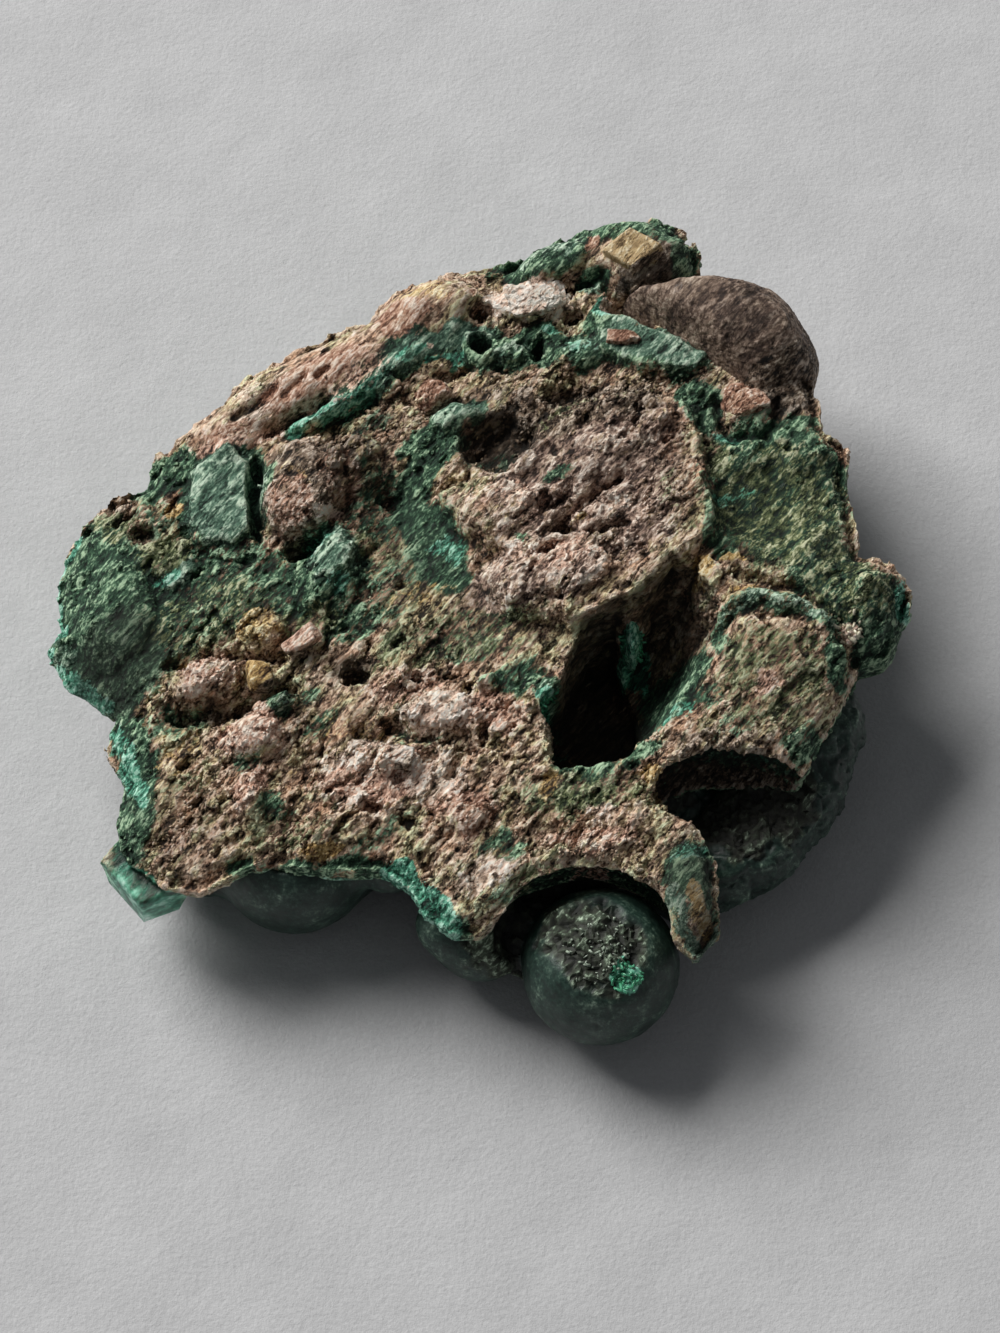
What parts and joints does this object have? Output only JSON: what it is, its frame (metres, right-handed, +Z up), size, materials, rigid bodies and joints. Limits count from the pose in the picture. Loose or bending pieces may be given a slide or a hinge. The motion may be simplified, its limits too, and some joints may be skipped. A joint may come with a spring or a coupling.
{
  "type": "malachite specimen",
  "caption": "Rough malachite specimen: a broken crust of brown, pinkish matrix with green seams, a deep hollow and rounded botryoidal lobes round its edge and underside.",
  "frame": {"origin": "on the surface it lies on, under the middle of its outline seen from above", "axes": "+Z up out of the matrix face, +Y towards the high ridge side with the smooth cobble, -Y towards the side with the large round nodule, +X towards the pointed tooth"},
  "size_m": [0.072, 0.0714, 0.0214],
  "materials": {
    "malachite": "rough, with duller satin lobes"
  },
  "bodies": {
    "root": {"malachite_specimen": "malachite"}
  },
  "joints": []
}
